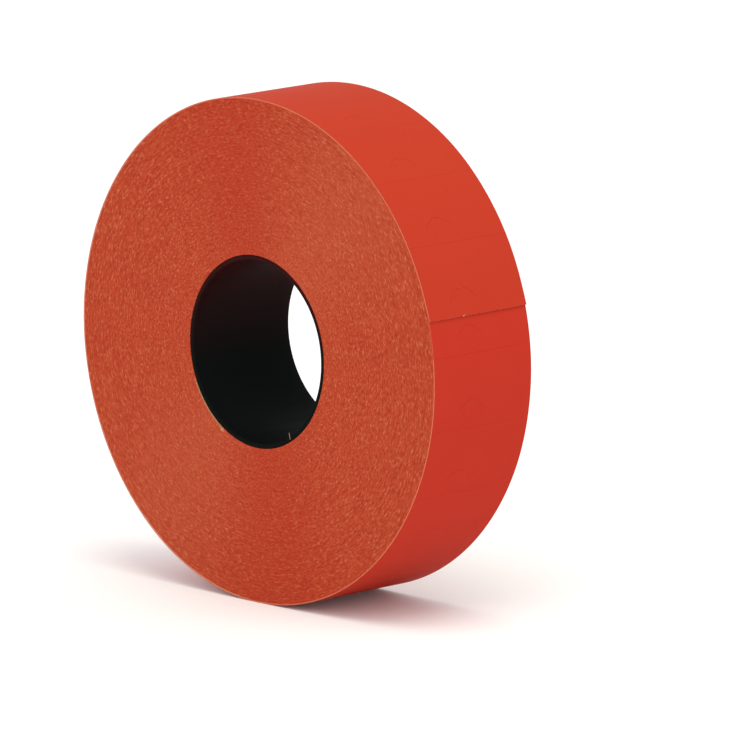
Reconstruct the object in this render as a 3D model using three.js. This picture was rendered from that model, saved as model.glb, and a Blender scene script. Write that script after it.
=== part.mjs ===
// A roll of die-cut price labels for a hand-held pricing gun: a continuous release liner that carries one
// row of labels, wound on a thin black core. Millimetres, +Z up. The origin is the centre of the bore and
// the roll turns about the Y axis. The free end of the web comes down over the top of the roll and ends on
// its +X side.
//
// Angles along the web ("travel") are counted in degrees from the free end, going up over the top and
// inwards.
import * as THREE from 'three';

// Driving dimensions.
const ROLL_RADIUS = 38; // outer face of the label at the free end
const WEB_WIDTH = 19.8; // 25/32 inch
const CORE_RADIUS = 14.5; // outside of the core
const CORE_WALL = 0.75;
const CORE_RECESS = 0.1; // how far each end of the core sits inside the roll's side face
const LABEL_THICKNESS = 0.07;
const LINER_THICKNESS = 0.05;
const LAYER_GAP = 0.01; // adhesive under a label, and the air between two turns
const LABELS_PER_TURN = 21.5; // 11.1 mm from one label to the next at this radius
const BUTT_GAP = 0.1; // between neighbouring labels, and between the hinged liner lengths
const FREE_END_ANGLE = 14; // direction of the free end, up from +X
const LEADER_LABELS = 5; // labels on the stretch of web that unrolls
const OUTER_TURN_LABELS = 21; // whole labels that fit on the outermost turn
const FACETS_PER_LABEL = 8;
const CORE_FACETS = 86; // half as many as the web has in a turn
const ANGLE_TOLERANCE = 1e-6; // degrees; two corners closer than this are one corner

// Worked out from them.
const TURN_PITCH = LABEL_THICKNESS + LINER_THICKNESS + 2 * LAYER_GAP; // one turn of web
const LABEL_TRAVEL = 360 / LABELS_PER_TURN; // degrees from one label to the next
const FACET = LABEL_TRAVEL / FACETS_PER_LABEL;
const GAP_TRAVEL = THREE.MathUtils.radToDeg(BUTT_GAP / ROLL_RADIUS);
const LINER_TOP = LABEL_THICKNESS + LAYER_GAP; // depths below the outer face of a turn
const LINER_BOTTOM = LINER_TOP + LINER_THICKNESS;

const PAPER = { color: 0xc8402a, roughness: 0.62, metalness: 0 };
const materials = {
  label: new THREE.MeshStandardMaterial(PAPER),
  wound: new THREE.MeshStandardMaterial({ ...PAPER, color: 0xb84a2f, roughness: 0.8 }),
  liner: new THREE.MeshStandardMaterial({ color: 0xe2c59a, roughness: 0.55, metalness: 0 }),
  core: new THREE.MeshStandardMaterial({ color: 0x141413, roughness: 0.38, metalness: 0 }),
};

// A point of the web's section, at a travel angle and a depth below the outer face of the turn that it is in.
function webPoint(travel, depth) {
  const angle = THREE.MathUtils.degToRad(FREE_END_ANGLE + travel);
  const radius = ROLL_RADIUS - (TURN_PITCH * travel) / 360 - depth;
  return new THREE.Vector2(radius * Math.cos(angle), radius * Math.sin(angle));
}

// Travel angles from one end of a stretch to the other, with every facet corner that lies between them.
function travels(from, to) {
  const stops = [from];
  for (let k = Math.floor(from / FACET) + 1; k * FACET < to - ANGLE_TOLERANCE; k += 1) {
    if (k * FACET > from + ANGLE_TOLERANCE) stops.push(k * FACET);
  }
  stops.push(to);
  return stops;
}

// Sections are drawn in X and Z, and extruded along Y to the given width, centred on the roll's middle
// plane.
function addSection(group, name, shape, width, material) {
  const extrusion = { depth: width, bevelEnabled: false, curveSegments: 1 };
  const mesh = new THREE.Mesh(new THREE.ExtrudeGeometry(shape, extrusion), material);
  mesh.name = name;
  mesh.rotation.x = Math.PI / 2;
  mesh.position.y = width / 2;
  group.add(mesh);
}

// A curved strip of the web, between two travel angles and two depths.
function stripShape(from, to, top, bottom) {
  const stops = travels(from, to);
  const outside = stops.map((travel) => webPoint(travel, top));
  const inside = stops.map((travel) => webPoint(travel, bottom)).reverse();
  return new THREE.Shape([...outside, ...inside]);
}

// Corners of a many-sided circle about the roll's axis.
function circlePoints(radius, facets) {
  return Array.from({ length: facets }, (_, k) => {
    const angle = THREE.MathUtils.degToRad(FREE_END_ANGLE) + (k * 2 * Math.PI) / facets;
    return new THREE.Vector2(radius * Math.cos(angle), radius * Math.sin(angle));
  });
}

// The thin tube that the web is wound on, and that the gun's spindle goes through.
function addCore(group) {
  const shape = new THREE.Shape(circlePoints(CORE_RADIUS, CORE_FACETS));
  shape.holes.push(new THREE.Path(circlePoints(CORE_RADIUS - CORE_WALL, CORE_FACETS)));
  addSection(group, 'core', shape, WEB_WIDTH - 2 * CORE_RECESS, materials.core);
}

// Every turn under the outermost one, as one body. Its outside is the same spiral, with a step where it
// meets the inner end of the outermost turn.
function addWoundWeb(group) {
  const start = OUTER_TURN_LABELS * LABEL_TRAVEL;
  const outline = travels(start, start + 360).map((travel) => webPoint(travel, 0));
  const shape = new THREE.Shape(outline);
  shape.holes.push(new THREE.Path(circlePoints(CORE_RADIUS + LAYER_GAP, CORE_FACETS)));
  addSection(group, 'wound_web', shape, WEB_WIDTH, materials.wound);
}

function pieceNumber(k) {
  return String(k).padStart(2, '0');
}

// The strip of web from the start of one label to the end of another, less half a gap at each end.
function labelStrip(first, last, top, bottom) {
  const from = (first - 1) * LABEL_TRAVEL + GAP_TRAVEL / 2;
  const to = last * LABEL_TRAVEL - GAP_TRAVEL / 2;
  return stripShape(from, to, top, bottom);
}

// One label of the outermost turn. Label 1 is the one at the free end.
function addLabel(group, k) {
  const shape = labelStrip(k, k, 0, LABEL_THICKNESS);
  addSection(group, `label_${pieceNumber(k)}`, shape, WEB_WIDTH, materials.label);
}

// The liner under one label of the leader. The lengths part at the hinge lines between labels.
function addLeaderLiner(group, k) {
  const shape = labelStrip(k, k, LINER_TOP, LINER_BOTTOM);
  addSection(group, `liner_leader_${pieceNumber(k)}`, shape, WEB_WIDTH, materials.liner);
}

// The rest of the outermost turn's liner, in one length.
function addOuterTurnLiner(group) {
  const shape = labelStrip(LEADER_LABELS + 1, OUTER_TURN_LABELS, LINER_TOP, LINER_BOTTOM);
  addSection(group, 'liner_outer_turn', shape, WEB_WIDTH, materials.liner);
}

const roll = new THREE.Group();
addCore(roll);
addWoundWeb(roll);
addOuterTurnLiner(roll);
for (let k = 1; k <= LEADER_LABELS; k += 1) addLeaderLiner(roll, k);
for (let k = 1; k <= OUTER_TURN_LABELS; k += 1) addLabel(roll, k);

export default roll;
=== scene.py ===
import math

import bpy
import numpy as np
from mathutils import Matrix, Vector
from mathutils.geometry import delaunay_2d_cdt


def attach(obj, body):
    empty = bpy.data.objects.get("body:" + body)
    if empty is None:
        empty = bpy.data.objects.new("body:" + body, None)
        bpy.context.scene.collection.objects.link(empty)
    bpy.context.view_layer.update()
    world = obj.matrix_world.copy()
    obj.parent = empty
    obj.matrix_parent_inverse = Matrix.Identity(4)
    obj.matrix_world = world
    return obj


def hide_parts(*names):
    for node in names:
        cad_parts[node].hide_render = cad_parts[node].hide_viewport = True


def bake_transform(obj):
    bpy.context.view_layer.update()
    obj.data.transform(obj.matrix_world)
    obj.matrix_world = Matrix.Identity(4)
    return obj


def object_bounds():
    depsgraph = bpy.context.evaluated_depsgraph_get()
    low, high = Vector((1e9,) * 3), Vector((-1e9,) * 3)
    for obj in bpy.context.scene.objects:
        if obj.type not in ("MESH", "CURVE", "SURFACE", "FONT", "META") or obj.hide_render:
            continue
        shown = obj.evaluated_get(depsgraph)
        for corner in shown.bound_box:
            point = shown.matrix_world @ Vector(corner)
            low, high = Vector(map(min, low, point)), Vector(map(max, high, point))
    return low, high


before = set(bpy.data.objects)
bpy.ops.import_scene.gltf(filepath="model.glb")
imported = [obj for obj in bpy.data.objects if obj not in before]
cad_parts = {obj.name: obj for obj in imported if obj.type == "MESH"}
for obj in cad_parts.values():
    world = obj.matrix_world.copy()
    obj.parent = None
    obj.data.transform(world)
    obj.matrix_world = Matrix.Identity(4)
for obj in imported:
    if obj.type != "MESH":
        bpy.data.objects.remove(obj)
cad_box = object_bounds()

# ---------------------------------------------------------------- dimensions
# Millimetres, as in the CAD model. "Travel" is degrees along the web from its free end, going up over the
# top of the roll and inwards. "Depth" is how far below the outer face of its turn a surface lies. "Along"
# and "across" are places on the web laid flat.
MM = 0.001
ROLL_RADIUS = 37.995  # a hair inside the CAD model, whose box the visual model must not pass
HALF_WIDTH = 9.9
CORE_RADIUS = 14.5
CORE_WALL = 0.75
CORE_HALF_LENGTH = 9.8
CORE_RIM = 0.18  # radius of the core's rounded rims
CORE_COLUMNS = 160
CORE_GAP = 0.01  # between the core and the turns
LABEL_THICKNESS = 0.07
LINER_TOP = 0.08
LINER_BOTTOM = 0.13
TURN_PITCH = 0.14
LABEL_TRAVEL = 360 / 21.5
FREE_END_ANGLE = 14.0
MM_PER_DEGREE = math.radians(ROLL_RADIUS)
LABEL_PITCH = LABEL_TRAVEL * MM_PER_DEGREE

FIRST_FIXED_LABEL = 6
LAST_OUTER_LABEL = 21
LAST_CUT_LABEL = 27  # the leader uncovers the labels of the next turn as far as this one
PACK_START = LAST_OUTER_LABEL * LABEL_TRAVEL
PACK_COLUMNS = 146
LAST_COLUMN_TRAVEL = 359.97  # in the rest of the turn, the pack's spiral outline steps back to its start

# How far the edges of the turns lie inside the side face, and how much that varies
EDGE_INSET = 0.03
TURN_DRIFT = 0.012
TURN_SCATTER = 0.02
LABEL_EDGE_ROUGHNESS = 0.03
LINER_EDGE_INSET = 0.01
LINER_EDGE_ROUGHNESS = 0.025

LABEL_ROWS = 17
LABEL_COLUMNS = 15
STRIP_ROW_LENGTH = 0.65
STRIP_COLUMNS = 9

LABEL_CUT = 0.012
SLIT_WIDTH = 0.022
SLIT_CLEARANCE = 0.3  # no grid point of a label is nearer to a slit than this
END_LIFT = 0.09
END_LIFT_LENGTH = 4.0
INNER_FACE_SHIFT = 7.0  # keeps the patterns of a sheet's two faces apart
SIDE_FACE_SHIFT = 3.0  # keeps the patterns of the roll's two side faces apart
SIDE_MARGIN = 0.05  # an edge this close to the web's sides is one of its long sides
SHARP_ANGLE = 35

random = np.random.default_rng(20)


def circle_point(radius, degrees):
    """X and Z of a point round the roll's axis."""
    return radius * math.cos(math.radians(degrees)), radius * math.sin(math.radians(degrees))


def web_point(travel, depth):
    """X and Z, in millimetres, of a point of the web's section. Works on arrays."""
    angle = np.radians(FREE_END_ANGLE + travel)
    radius = ROLL_RADIUS - TURN_PITCH * travel / 360 - depth
    return radius * np.cos(angle), radius * np.sin(angle)


# ---------------------------------------------------------------- shader helpers
def new_material(name, **inputs):
    """A Principled material, with the shader's own values set from the keyword arguments."""
    material = bpy.data.materials.new(name)
    material.use_nodes = True
    shader = material.node_tree.nodes["Principled BSDF"]
    shader.inputs["Metallic"].default_value = 0.0
    for key, value in inputs.items():
        shader.inputs[key.replace("_", " ")].default_value = value
    return material, material.node_tree, shader


def add(tree, kind, **settings):
    """A new shader node with the given settings."""
    node = tree.nodes.new(kind)
    for key, value in settings.items():
        setattr(node, key, value)
    return node


def math_node(tree, operation, *values):
    """A Math node; each value is a number or another node's output."""
    node = add(tree, "ShaderNodeMath", operation=operation)
    for socket, value in zip(node.inputs, values):
        if isinstance(value, (int, float)):
            socket.default_value = value
        else:
            tree.links.new(value, socket)
    return node.outputs[0]


def srgb(red, green, blue):
    """A colour given as 0 to 255 display values, as the linear value a shader takes."""
    def linear(channel):
        c = channel / 255
        return c / 12.92 if c <= 0.04045 else ((c + 0.055) / 1.055) ** 2.4
    return linear(red), linear(green), linear(blue), 1.0


def noise(tree, vector, scale, detail=2.0, roughness=0.5):
    """Noise from 0 to 1 at a texture place."""
    node = add(tree, "ShaderNodeTexNoise", noise_dimensions="3D")
    node.inputs["Scale"].default_value = scale
    node.inputs["Detail"].default_value = detail
    node.inputs["Roughness"].default_value = roughness
    tree.links.new(vector, node.inputs["Vector"])
    return node.outputs["Fac"]


def ramp(tree, factor, stops):
    """A colour ramp through (position, colour) stops."""
    node = add(tree, "ShaderNodeValToRGB")
    elements = node.color_ramp.elements
    while len(elements) < len(stops):
        elements.new(0.5)
    for element, (position, colour) in zip(elements, stops):
        element.position = position
        element.color = colour
    tree.links.new(factor, node.inputs["Fac"])
    return node.outputs["Color"]


def mix(tree, factor, first, second):
    """Mixes two colours, each a colour or another node's output."""
    node = add(tree, "ShaderNodeMix", data_type="RGBA")
    sockets = node.inputs[0], node.inputs[6], node.inputs[7]
    for socket, value in zip(sockets, (factor, first, second)):
        if isinstance(value, (int, float, tuple)):
            socket.default_value = value
        else:
            tree.links.new(value, socket)
    return node.outputs[2]


def spread(tree, factor, low, high):
    """A 0 to 1 factor stretched to run from low to high."""
    node = add(tree, "ShaderNodeMapRange")
    node.inputs["To Min"].default_value = low
    node.inputs["To Max"].default_value = high
    tree.links.new(factor, node.inputs["Value"])
    return node.outputs["Result"]


def bump(tree, shader, height, distance, strength):
    """Fine relief on the surface, up to the given distance in metres."""
    node = add(tree, "ShaderNodeBump")
    node.inputs["Strength"].default_value = strength
    node.inputs["Distance"].default_value = distance
    tree.links.new(height, node.inputs["Height"])
    tree.links.new(node.outputs["Normal"], shader.inputs["Normal"])


def web_place(tree, along=1.0, across=1.0):
    """Place on the flat web: along it and across it, in millimetres times the given factors, and which
    face. It stays with a web that bends."""
    attribute = add(tree, "ShaderNodeAttribute", attribute_name="web_place")
    scale = add(tree, "ShaderNodeVectorMath", operation="MULTIPLY")
    scale.inputs[1].default_value = (along, across, 1.0)
    tree.links.new(attribute.outputs["Vector"], scale.inputs[0])
    return scale.outputs["Vector"]


# ---------------------------------------------------------------- materials
def label_face_material():
    """Red-orange coated paper, a little uneven; along the web's first turn it is painted more orange over
    the top of the roll and redder low down, as painted light from above.
    """
    material, tree, shader = new_material("label_face", Specular_IOR_Level=0.03)
    flat = web_place(tree)
    grain = noise(tree, flat, 5.0, 4.0, 0.6)
    cloud = noise(tree, flat, 0.16)
    streak = noise(tree, web_place(tree, 0.05, 2.2), 1.0, 3.0)
    # Painted light: these tones along the first turn make it more orange over the top of the roll and redder
    # low down.
    drift = ((0.0, (172, 49, 32)), (0.2, (173, 54, 30)), (0.5, (172, 50, 32)), (0.85, (175, 43, 31)))
    along = add(tree, "ShaderNodeSeparateXYZ")
    tree.links.new(flat, along.inputs[0])
    turns = math_node(tree, "DIVIDE", along.outputs["X"], 360 * MM_PER_DEGREE)
    tone = ramp(tree, turns, [(place, srgb(*colour)) for place, colour in drift])
    tone = mix(tree, spread(tree, cloud, 0.0, 0.3), tone, srgb(179, 55, 35))
    tone = mix(tree, spread(tree, streak, 0.0, 0.25), tone, srgb(167, 43, 29))
    pale_grain = ramp(tree, grain, [(0.35, (0, 0, 0, 1)), (0.75, (0.25, 0.25, 0.25, 1))])
    tone = mix(tree, pale_grain, tone, srgb(184, 67, 45))
    tree.links.new(tone, shader.inputs["Base Color"])
    tree.links.new(spread(tree, grain, 0.5, 0.72), shader.inputs["Roughness"])
    bump(tree, shader, grain, 0.012 * MM, 0.6)
    return material


def edge_material(name, side_tones, shaded_cut_tones):
    """Cut paper: the web's long sides in one pair of tones, and the cuts across it in a darker pair: painted
    shade, for cuts that stand in shadow."""
    material, tree, shader = new_material(name, Specular_IOR_Level=0.1)
    fibres = noise(tree, web_place(tree, 3.0, 8.0), 1.0, 3.0)
    axes = add(tree, "ShaderNodeSeparateXYZ")
    tree.links.new(web_place(tree), axes.inputs[0])
    off_centre = math_node(tree, "ABSOLUTE", axes.outputs["Y"])
    on_side = math_node(tree, "GREATER_THAN", off_centre, HALF_WIDTH - SIDE_MARGIN)
    # Painted shade: the cuts across the web get darker tones than its long sides.
    painted_shade_cut = ramp(tree, fibres, [(0.3, srgb(*shaded_cut_tones[0])), (0.7, srgb(*shaded_cut_tones[1]))])
    side = ramp(tree, fibres, [(0.3, srgb(*side_tones[0])), (0.7, srgb(*side_tones[1]))])
    tree.links.new(mix(tree, on_side, painted_shade_cut, side), shader.inputs["Base Color"])
    tree.links.new(spread(tree, fibres, 0.7, 0.95), shader.inputs["Roughness"])
    return material


def label_edge_material():
    """The labels' edges: red-orange along the sides, darker in the cuts, where the shade is painted."""
    side_tones = (182, 72, 50), (206, 110, 82)
    shaded_cut_tones = (128, 30, 22), (160, 48, 34)
    return edge_material("label_edge", side_tones, shaded_cut_tones)


def liner_edge_material():
    """The liner's edges: reddish tan along the sides, darker in the cuts, where the shade is painted."""
    side_tones = (182, 92, 62), (204, 130, 94)
    shaded_cut_tones = (120, 34, 26), (150, 58, 40)
    return edge_material("liner_edge", side_tones, shaded_cut_tones)


def adhesive_material():
    """The back of a label: pale, and a little shiny with adhesive."""
    material, tree, shader = new_material("label_adhesive", Specular_IOR_Level=0.5)
    ripple = noise(tree, web_place(tree, 0.5, 1.6), 1.0, 4.0)
    tone = ramp(tree, ripple, [(0.3, srgb(224, 186, 170)), (0.7, srgb(238, 212, 198))])
    tree.links.new(tone, shader.inputs["Base Color"])
    tree.links.new(spread(tree, ripple, 0.2, 0.45), shader.inputs["Roughness"])
    bump(tree, shader, ripple, 0.01 * MM, 0.5)
    return material


def liner_material():
    """Tan release paper."""
    material, tree, shader = new_material("liner", Specular_IOR_Level=0.5)
    fibres = noise(tree, web_place(tree, 1.2, 2.0), 1.0, 5.0, 0.65)
    tone = ramp(tree, fibres, [(0.3, srgb(214, 180, 134)), (0.7, srgb(232, 206, 166))])
    tree.links.new(tone, shader.inputs["Base Color"])
    tree.links.new(spread(tree, fibres, 0.3, 0.5), shader.inputs["Roughness"])
    bump(tree, shader, fibres, 0.01 * MM, 0.4)
    return material


def side_face_place(tree):
    """For a point on the roll's side face: its direction and distance from the axis, and its place along
    the axis, in metres."""
    place = add(tree, "ShaderNodeTexCoord").outputs["Object"]
    flat = add(tree, "ShaderNodeVectorMath", operation="MULTIPLY")
    flat.inputs[1].default_value = (1.0, 0.0, 1.0)
    tree.links.new(place, flat.inputs[0])
    direction = add(tree, "ShaderNodeVectorMath", operation="NORMALIZE")
    tree.links.new(flat.outputs["Vector"], direction.inputs[0])
    distance = add(tree, "ShaderNodeVectorMath", operation="LENGTH")
    tree.links.new(flat.outputs["Vector"], distance.inputs[0])
    side = add(tree, "ShaderNodeSeparateXYZ")
    tree.links.new(place, side.inputs[0])
    return direction.outputs["Vector"], distance.outputs["Value"], side.outputs["Y"]


def around_and_out(tree, around, out):
    """A texture place stretched along the turns: round a circle of the given radius, with distance from the
    axis as the height. It has no seam, and the two side faces get different patterns."""
    direction, distance, side = side_face_place(tree)
    circle = add(tree, "ShaderNodeVectorMath", operation="SCALE")
    circle.inputs["Scale"].default_value = around
    tree.links.new(direction, circle.inputs[0])
    height = math_node(tree, "MULTIPLY", distance, out / MM)
    join = add(tree, "ShaderNodeCombineXYZ")
    tree.links.new(math_node(tree, "MULTIPLY_ADD", side, SIDE_FACE_SHIFT / MM, height), join.inputs["Y"])
    total = add(tree, "ShaderNodeVectorMath", operation="ADD")
    tree.links.new(circle.outputs["Vector"], total.inputs[0])
    tree.links.new(join.outputs["Vector"], total.inputs[1])
    return total.outputs["Vector"]


def sheen_wedge(tree, angle, sharpness):
    """1 along the given direction from the axis and its opposite, falling to 0 to either side. Masks painted
    sheen.
    """
    direction = side_face_place(tree)[0]
    match = add(tree, "ShaderNodeVectorMath", operation="DOT_PRODUCT")
    x, z = circle_point(1.0, angle)
    match.inputs[1].default_value = (x, 0.0, z)
    tree.links.new(direction, match.inputs[0])
    either_way = math_node(tree, "ABSOLUTE", match.outputs["Value"])
    return math_node(tree, "POWER", either_way, sharpness)


def wound_edge_material():
    """The cut edges of the turns: fine grains, streaks along the turns and pale fibres. Opposite wedges of
    the face are painted paler or redder than the rest, a painted bow-tie sheen of light on the turns' edges."""
    material, tree, shader = new_material("wound_edges", Specular_IOR_Level=0.02)
    grains = noise(tree, around_and_out(tree, 40.0, 3.0), 1.0, 3.0, 0.7)
    streaks = noise(tree, around_and_out(tree, 8.0, 3.8), 1.0, 2.0, 0.6)
    fibres = noise(tree, around_and_out(tree, 52.0, 3.6), 1.0, 1.0, 0.5)
    grain_tones = (0.3, srgb(139, 38, 26)), (0.5, srgb(166, 59, 37)), (0.7, srgb(177, 83, 52))
    streak_tones = (0.3, srgb(147, 44, 30)), (0.7, srgb(178, 78, 49))
    tone = mix(tree, 0.32, ramp(tree, grains, grain_tones), ramp(tree, streaks, streak_tones))
    pale = ramp(tree, fibres, [(0.55, (0, 0, 0, 1)), (0.75, (0.6, 0.6, 0.6, 1))])
    tone = mix(tree, pale, tone, srgb(193, 114, 80))
    # Painted sheen: one pair of opposite wedges paler, the other redder, as light falls on the turns' edges.
    painted_sheen_wedges = ((52, 10, 0.16, (186, 98, 70)), (100, 14, 0.37, (162, 46, 31)))
    for angle, sharpness, strength, colour in painted_sheen_wedges:
        share = math_node(tree, "MULTIPLY", sheen_wedge(tree, angle, sharpness), strength)
        tone = mix(tree, share, tone, srgb(*colour))
    tree.links.new(tone, shader.inputs["Base Color"])
    tree.links.new(spread(tree, grains, 0.7, 0.95), shader.inputs["Roughness"])
    return material


def core_material():
    """Near-black plastic with faint lines along the bore, slightly red in its upper half."""
    material, tree, shader = new_material("core_plastic", Specular_IOR_Level=0.015)
    place = add(tree, "ShaderNodeTexCoord").outputs["Object"]
    stretch = add(tree, "ShaderNodeVectorMath", operation="MULTIPLY")
    stretch.inputs[1].default_value = (1000.0, 40.0, 1000.0)
    tree.links.new(place, stretch.inputs[0])
    lines = noise(tree, stretch.outputs["Vector"], 0.9, 4.0, 0.7)
    axes = add(tree, "ShaderNodeSeparateXYZ")
    tree.links.new(place, axes.inputs[0])
    height = math_node(tree, "MULTIPLY_ADD", axes.outputs["Z"], 0.6 / (CORE_RADIUS * MM), 0.15)
    redness = math_node(tree, "MULTIPLY", height, lines)
    tone = mix(tree, redness, srgb(12, 15, 14), srgb(74, 14, 18))
    tree.links.new(tone, shader.inputs["Base Color"])
    tree.links.new(spread(tree, lines, 0.35, 0.6), shader.inputs["Roughness"])
    bump(tree, shader, lines, 0.02 * MM, 0.6)
    return material


def shred_material():
    """Tan torn paper."""
    material, tree, shader = new_material("paper_shreds", Specular_IOR_Level=0.2)
    place = add(tree, "ShaderNodeTexCoord").outputs["Object"]
    fibres = noise(tree, place, 4 / MM, 3.0, 0.6)
    tone = ramp(tree, fibres, [(0.3, srgb(150, 98, 64)), (0.7, srgb(190, 140, 98))])
    tree.links.new(tone, shader.inputs["Base Color"])
    tree.links.new(spread(tree, fibres, 0.7, 0.95), shader.inputs["Roughness"])
    return material


# ---------------------------------------------------------------- the web
def slit_outlines():
    """The anti-tamper cuts of one label, as centre lines of (along, across) points in millimetres."""
    arch = [(2.4 + 1.8 * math.sin(math.pi * t), -5.1 + 5.7 * t) for t in np.linspace(0, 1, 15)]
    slits = [arch]
    for start, length, across in ((2.2, 1.4, -3.7), (0.3, 0.7, -7.3), (0.3, 0.7, 4.3), (7.8, 1.6, 2.9)):
        slits.append([(start + length * t, across) for t in (0, 0.5, 1)])
    return slits


def slit_polygon(line, width):
    """A cut's narrow outline, pointed at both ends."""
    line = np.array(line, float)
    ahead = np.gradient(line, axis=0)
    sideways = np.stack([-ahead[:, 1], ahead[:, 0]], axis=1)
    sideways /= np.linalg.norm(sideways, axis=1)[:, None]
    left = line[1:-1] + sideways[1:-1] * width / 2
    right = line[1:-1] - sideways[1:-1] * width / 2
    return np.vstack([line[:1], left, line[-1:], right[::-1]])


def inside(point, polygon):
    """Whether a flat point is inside a polygon."""
    x, y = point
    result = False
    for (x0, y0), (x1, y1) in zip(polygon, np.roll(polygon, -1, axis=0)):
        if (y0 > y) != (y1 > y) and x < (x1 - x0) * (y - y0) / (y1 - y0) + x0:
            result = not result
    return result


def rectangle_border(rows, columns):
    """The grid points round a rectangle's edge, in order."""
    border = [(rows[0], y) for y in columns] + [(x, columns[-1]) for x in rows[1:]]
    return border + [(rows[-1], y) for y in columns[-2::-1]] + [(x, columns[0]) for x in rows[-2:0:-1]]


def loop_edges(first, count):
    """The edges of a closed loop of points, numbered from first."""
    return [(first + i, first + (i + 1) % count) for i in range(count)]


def label_flat(length):
    """One label laid flat: its (along, across) points and its triangles, with the slits cut out."""
    rows = np.linspace(0, length, LABEL_ROWS)
    columns = np.linspace(-HALF_WIDTH, HALF_WIDTH, LABEL_COLUMNS)
    slits = [slit_polygon(line, SLIT_WIDTH) for line in slit_outlines()]
    cut_points = np.vstack(slits)
    points, edges = [], []
    for outline in [rectangle_border(rows, columns), *slits]:
        edges += loop_edges(len(points), len(outline))
        points += [Vector(p) for p in outline]
    for x in rows[1:-1]:
        for y in columns[1:-1]:
            if np.min(np.hypot(*(cut_points - (x, y)).T)) > SLIT_CLEARANCE:
                points.append(Vector((x, y)))
    flat, _, faces, *_ = delaunay_2d_cdt(points, edges, [], 0, 1e-6)
    flat = np.array([tuple(p) for p in flat])
    middles = [flat[list(face)].mean(axis=0) for face in faces]
    kept = [f for f, middle in zip(faces, middles) if not any(inside(middle, s) for s in slits)]
    return flat, np.array(kept)


def strip_flat(length):
    """A plain length of web laid flat, as (along, across) points and triangles."""
    rows = max(2, round(length / STRIP_ROW_LENGTH)) + 1
    along, across = np.linspace(0, length, rows), np.linspace(-HALF_WIDTH, HALF_WIDTH, STRIP_COLUMNS)
    x, y = np.meshgrid(along, across, indexing="ij")
    index = np.arange(rows * STRIP_COLUMNS).reshape(rows, STRIP_COLUMNS)
    a, b, c, d = index[:-1, :-1], index[1:, :-1], index[1:, 1:], index[:-1, 1:]
    halves = [np.stack(corners, -1).reshape(-1, 3) for corners in ((a, b, c), (a, c, d))]
    return np.stack([x.ravel(), y.ravel()], axis=1), np.vstack(halves)


def edge_wander(along):
    """How far the web's slit edge strays inwards, smoothly along its length, in millimetres."""
    return 0.03 + 0.02 * np.sin(along / 9.0) + 0.01 * np.sin(along / 2.7 + 1.0)


def free_end_lift(along):
    """The last few millimetres of the web stand slightly off the turn below."""
    return END_LIFT * np.clip(1 - along / END_LIFT_LENGTH, 0, 1) ** 2


def sheet_points(flat, start, top, bottom):
    """Both faces of a wound sheet: their points in metres, and the same points' places on the flat web."""
    along = start + flat[:, 0]
    across = flat[:, 1] * (1 - edge_wander(along) / HALF_WIDTH)
    travel = along / MM_PER_DEGREE
    lift = free_end_lift(along)
    layers, places = [], []
    for side, depth in enumerate((top, bottom)):
        x, z = web_point(travel, depth - lift)
        layers.append(np.stack([x, across, z], axis=1) * MM)
        shift = np.full(len(along), side * INNER_FACE_SHIFT)
        places.append(np.stack([along, flat[:, 1], shift], axis=1))
    return np.vstack(layers), np.vstack(places)


def rim_edges(triangles):
    """The edges that only one triangle uses: those round the outline and round each slit."""
    used = dict.fromkeys(pair for a, b, c in triangles.tolist() for pair in ((a, b), (b, c), (c, a)))
    return [pair for pair in used if pair[::-1] not in used]


def wound_sheet(name, flat, triangles, start, top, bottom, materials):
    """A thin closed sheet wound onto the roll, with a material each for outer face, inner face and edges."""
    points, places = sheet_points(flat, start, top, bottom)
    count = len(flat)
    outer = triangles[:, ::-1].tolist()
    inner = (triangles + count).tolist()
    walls = [(a, b, b + count, a + count) for a, b in rim_edges(triangles)]
    mesh = bpy.data.meshes.new(name)
    mesh.from_pydata(points.tolist(), [], outer + inner + walls)
    place = mesh.attributes.new("web_place", "FLOAT_VECTOR", "POINT")
    place.data.foreach_set("vector", places.astype(np.float32).ravel())
    for material in materials:
        mesh.materials.append(material)
    which = [0] * len(outer) + [1] * len(inner) + [2] * len(walls)
    mesh.polygons.foreach_set("material_index", which)
    smooth = [True] * (len(outer) + len(inner)) + [False] * len(walls)
    mesh.polygons.foreach_set("use_smooth", smooth)
    mesh.update()
    mesh.set_sharp_from_angle(angle=math.radians(SHARP_ANGLE))
    obj = bpy.data.objects.new(name, mesh)
    bpy.context.collection.objects.link(obj)
    return obj


def make_labels(finishes):
    """Every label of the outer turn, and those of the next turn that the leader uncovers."""
    flat, triangles = label_flat(LABEL_PITCH - LABEL_CUT)
    for k in range(1, LAST_CUT_LABEL + 1):
        under = k > LAST_OUTER_LABEL
        name = f"under_label_{k - LAST_OUTER_LABEL:02d}" if under else f"price_label_{k:02d}"
        start = (k - 1) * LABEL_PITCH + LABEL_CUT / 2
        label = wound_sheet(name, flat, triangles, start, 0.0, LABEL_THICKNESS, finishes)
        if not under:
            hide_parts(f"label_{k:02d}")
        attach_to_web(label, k)


def attach_to_web(piece, k):
    """The piece over label k goes with the roll from FIRST_FIXED_LABEL on; before that, its place is baked
    into its mesh.
    """
    if k >= FIRST_FIXED_LABEL:
        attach(piece, "roll")
    elif k == 1:
        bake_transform(piece)
    else:
        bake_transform(piece)


def liner_sheet(name, start, length, finishes):
    """A length of liner, which begins at the given place along the web."""
    flat, triangles = strip_flat(length)
    return wound_sheet(name, flat, triangles, start, LINER_TOP, LINER_BOTTOM, finishes)


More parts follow.
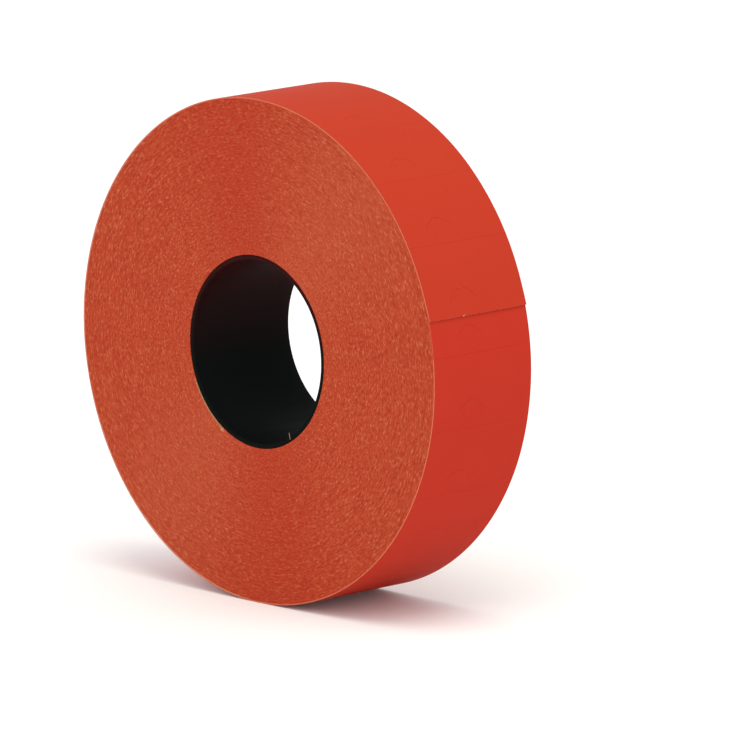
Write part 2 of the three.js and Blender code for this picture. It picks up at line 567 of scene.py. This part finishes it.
def make_liner(finishes):
    """The liner of the outer turn: the leader's lengths, one per label, and the rest in one length."""
    for k in range(1, FIRST_FIXED_LABEL):
        piece = liner_sheet(f"leader_liner_{k:02d}", (k - 1) * LABEL_PITCH, LABEL_PITCH, finishes)
        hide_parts(f"liner_leader_{k:02d}")
        if k == 1:
            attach(piece, "leader_2")
        else:
            attach_to_web(piece, k)
    start = (FIRST_FIXED_LABEL - 1) * LABEL_PITCH
    piece = liner_sheet("outer_turn_liner", start, LAST_OUTER_LABEL * LABEL_PITCH - start, finishes)
    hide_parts("liner_outer_turn")
    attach(piece, "roll")


def make_covered_labels(finishes):
    """The rest of the second turn's labels, which the outer turn covers, in one strip."""
    start = LAST_CUT_LABEL * LABEL_PITCH
    flat, triangles = strip_flat((PACK_START + 360) * MM_PER_DEGREE - start)
    strip = wound_sheet("covered_labels", flat, triangles, start, 0.0, LABEL_THICKNESS, finishes)
    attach(strip, "roll")


# ---------------------------------------------------------------- the wound pack and the core
def closed_grid(name, points, material):
    """A closed ring-shaped mesh from points[around, section, xyz], joined up both ways."""
    around, section = points.shape[:2]
    index = np.arange(around * section).reshape(around, section)
    after = np.roll(index, -1, axis=0)
    quads = np.stack([index, np.roll(index, -1, axis=1), np.roll(after, -1, axis=1), after], axis=-1)
    mesh = bpy.data.meshes.new(name)
    mesh.from_pydata((points.reshape(-1, 3) * MM).tolist(), [], quads.reshape(-1, 4).tolist())
    mesh.materials.append(material)
    mesh.polygons.foreach_set("use_smooth", [True] * len(mesh.polygons))
    mesh.update()
    obj = bpy.data.objects.new(name, mesh)
    bpy.context.collection.objects.link(obj)
    return obj


def smooth_random(shape):
    """Random values from 0 to 1, blurred a little along the turns."""
    values = random.random(shape)
    return (np.roll(values, 1, axis=0) + 2 * values + np.roll(values, -1, axis=0)) / 4


def edge_relief(columns, turns):
    """How far each turn's label edge and liner edge lie inside the roll's side face, in millimetres."""
    drift = np.cumsum(random.normal(0, TURN_DRIFT, turns))
    drift -= np.linspace(drift[0], drift[-1], turns)
    turn = EDGE_INSET + np.abs(drift) / 2 + random.uniform(0, TURN_SCATTER, turns)
    label = turn[None, :] + LABEL_EDGE_ROUGHNESS * smooth_random((columns, turns))
    liner = label + LINER_EDGE_INSET + LINER_EDGE_ROUGHNESS * smooth_random((columns, turns))
    return np.stack([label, liner], axis=2).reshape(columns, 2 * turns)


def make_wound_pack(material):
    """Every turn under the outermost one: the two side faces show each turn's edge as its own ridge."""
    inner = CORE_RADIUS + CORE_GAP
    columns = np.arange(PACK_COLUMNS) * 360 / PACK_COLUMNS
    travel = PACK_START + np.append(columns, LAST_COLUMN_TRAVEL)
    angle = np.radians(FREE_END_ANGLE + travel)
    outline = ROLL_RADIUS - TURN_PITCH * travel / 360 - LINER_TOP
    turns = round((outline.mean() - inner) / TURN_PITCH)
    share = np.linspace(1, 0, 2 * turns)
    radius = inner + (outline[:, None] - inner) * share[None, :]
    x, z = radius * np.cos(angle)[:, None], radius * np.sin(angle)[:, None]
    faces = []
    for side in (-1, 1):
        y = side * (HALF_WIDTH - edge_relief(len(travel), turns))
        faces.append(np.stack([x, y, z], axis=2)[:, ::side])
    pack = closed_grid("wound_pack", np.concatenate(faces, axis=1), material)
    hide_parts("wound_web")
    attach(pack, "roll")


def core_section():
    """The outline of the core's wall as (radius, place along the axis) points, with rounded rims."""
    inner = CORE_RADIUS - CORE_WALL
    end = CORE_HALF_LENGTH
    corner = [(math.sin(t), 1 - math.cos(t)) for t in np.linspace(0, math.pi / 2, 4)]
    half = [(CORE_RADIUS, 0.0)]
    half += [(CORE_RADIUS - CORE_RIM * b, end - CORE_RIM + CORE_RIM * a) for a, b in corner]
    half += [(inner + CORE_RIM * (1 - a), end - CORE_RIM * b) for a, b in corner]
    half += [(inner, y) for y in np.linspace(end - 2, 0, 5)]
    half = np.array(half)
    mirrored = half[-2:0:-1] * (1, -1)
    return np.vstack([half, mirrored])


def make_core(material):
    """The black tube, with its rims slightly rounded."""
    section = core_section()
    angle = np.linspace(0, 2 * math.pi, CORE_COLUMNS, endpoint=False)
    radius, y = section[:, 0][None, :], np.broadcast_to(section[:, 1], (CORE_COLUMNS, len(section)))
    points = np.stack([radius * np.cos(angle)[:, None], y, radius * np.sin(angle)[:, None]], axis=2)
    core = closed_grid("core_tube", points, material)
    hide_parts("core")
    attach(core, "roll")


# ---------------------------------------------------------------- shreds of paper
def make_prism(name, outline, near, far, material):
    """A small closed piece with the given outline, as seen along the axis, between two places on it."""
    count = len(outline)
    points = [(x * MM, y * MM, z * MM) for y in (near, far) for x, z in outline]
    following = [(i + 1) % count for i in range(count)]
    faces = [list(range(count)), list(range(2 * count - 1, count - 1, -1))]
    faces += [(after, i, i + count, after + count) for i, after in enumerate(following)]
    mesh = bpy.data.meshes.new(name)
    mesh.from_pydata(points, [], faces)
    mesh.materials.append(material)
    obj = bpy.data.objects.new(name, mesh)
    bpy.context.collection.objects.link(obj)
    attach(obj, "roll")


def make_shreds(material):
    """Bits of paper left by the slitting knife: the liner's start showing round the core, a fibre in the
    bore, and a fibre on the web's free end."""
    outer_side = [circle_point(CORE_RADIUS + 0.09, degrees) for degrees in range(203, 239, 5)]
    torn_end = [circle_point(CORE_RADIUS + 0.55, 238.5), circle_point(CORE_RADIUS + 0.4, 241.0)]
    inner_side = [circle_point(CORE_RADIUS, degrees) for degrees in range(240, 202, -5)]
    make_prism("liner_start", outer_side + torn_end + inner_side, -HALF_WIDTH, -9.7, material)

    fibre = [(14.1, 300.2), (13.2, 301.5), (13.2, 301.7), (14.1, 300.5)]
    make_prism("bore_fibre", [circle_point(*corner) for corner in fibre], -9.85, -9.78, material)

    flat = np.array([(-0.10, -3.20), (0.05, -3.22), (0.22, -2.80), (0.12, -2.68), (-0.02, -2.95)])
    triangles = np.array([(0, i, i + 1) for i in range(1, len(flat) - 1)])
    seam_fibre = wound_sheet("seam_fibre", flat, triangles, 0.0, -0.04, 0.0, [material] * 3)
    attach(seam_fibre, "lead_label")


# ---------------------------------------------------------------- stage
def make_floor():
    """A large pale floor under the roll."""
    reach = 4.0
    low = cad_box[0][2]
    mesh = bpy.data.meshes.new("floor")
    corners = [(-reach, -reach, low), (reach, -reach, low), (reach, reach, low), (-reach, reach, low)]
    mesh.from_pydata(corners, [], [(0, 1, 2, 3)])
    material, _, shader = new_material("floor", Roughness=0.9, Specular_IOR_Level=0.1)
    shader.inputs["Base Color"].default_value = (0.9, 0.9, 0.9, 1)
    mesh.materials.append(material)
    floor = bpy.data.objects.new("floor", mesh)
    bpy.context.collection.objects.link(floor)


def add_softbox(name, place, size, power, colour=(1.0, 1.0, 1.0)):
    """A round lamp aimed at the roll."""
    light = bpy.data.lights.new(name, "AREA")
    light.shape = "DISK"
    light.size = size
    light.energy = power
    light.color = colour
    lamp = bpy.data.objects.new(name, light)
    lamp.location = place
    lamp.rotation_euler = (-Vector(place)).to_track_quat("-Z", "Y").to_euler()
    bpy.context.collection.objects.link(lamp)


def light_scene():
    """White surroundings and three soft lamps."""
    world = bpy.data.worlds.new("studio")
    world.use_nodes = True
    background = world.node_tree.nodes["Background"]
    background.inputs["Color"].default_value = (1.0, 1.0, 1.0, 1)
    background.inputs["Strength"].default_value = 1.0
    bpy.context.scene.world = world
    add_softbox("top_softbox", (0.25, -0.15, 0.9), 0.7, 4.0, (1.0, 0.95, 0.82))
    add_softbox("front_softbox", (0.1, -0.9, 0.35), 0.6, 1.2)
    add_softbox("low_softbox", (0.7, -0.35, 0.02), 0.3, 1.0)
    bpy.context.scene.view_settings.view_transform = "Standard"


def add_camera():
    """Level with the roll and a little above it, turned to show the near side face and the outer surface."""
    yaw, pitch, roll = math.radians(46.18), math.radians(10.75), math.radians(-0.42)
    distance, shift_right, shift_up = 1421.2, 10.48, -4.72
    back = Vector((math.sin(yaw) * math.cos(pitch), -math.cos(yaw) * math.cos(pitch), math.sin(pitch)))
    right = Vector((math.cos(yaw), math.sin(yaw), 0))
    up = back.cross(right)
    tilted_right = math.cos(roll) * right + math.sin(roll) * up
    tilted_up = math.cos(roll) * up - math.sin(roll) * right
    data = bpy.data.cameras.new("camera")
    data.lens = 459.1
    data.sensor_width = 36.0
    data.clip_start = 0.05
    data.clip_end = 30.0
    camera = bpy.data.objects.new("camera", data)
    place = (back * distance + tilted_right * shift_right + tilted_up * shift_up) * MM
    turn = Matrix((tilted_right, tilted_up, back)).transposed().to_4x4()
    camera.matrix_world = Matrix.Translation(place) @ turn
    bpy.context.collection.objects.link(camera)
    bpy.context.scene.camera = camera


edge = label_edge_material()
face = label_face_material()
liner = liner_material()
label_finishes = [face, adhesive_material(), edge]
make_labels(label_finishes)
make_covered_labels(label_finishes)
make_liner([liner, liner, liner_edge_material()])
make_wound_pack(wound_edge_material())
make_core(core_material())
make_shreds(shred_material())
make_floor()
light_scene()
add_camera()
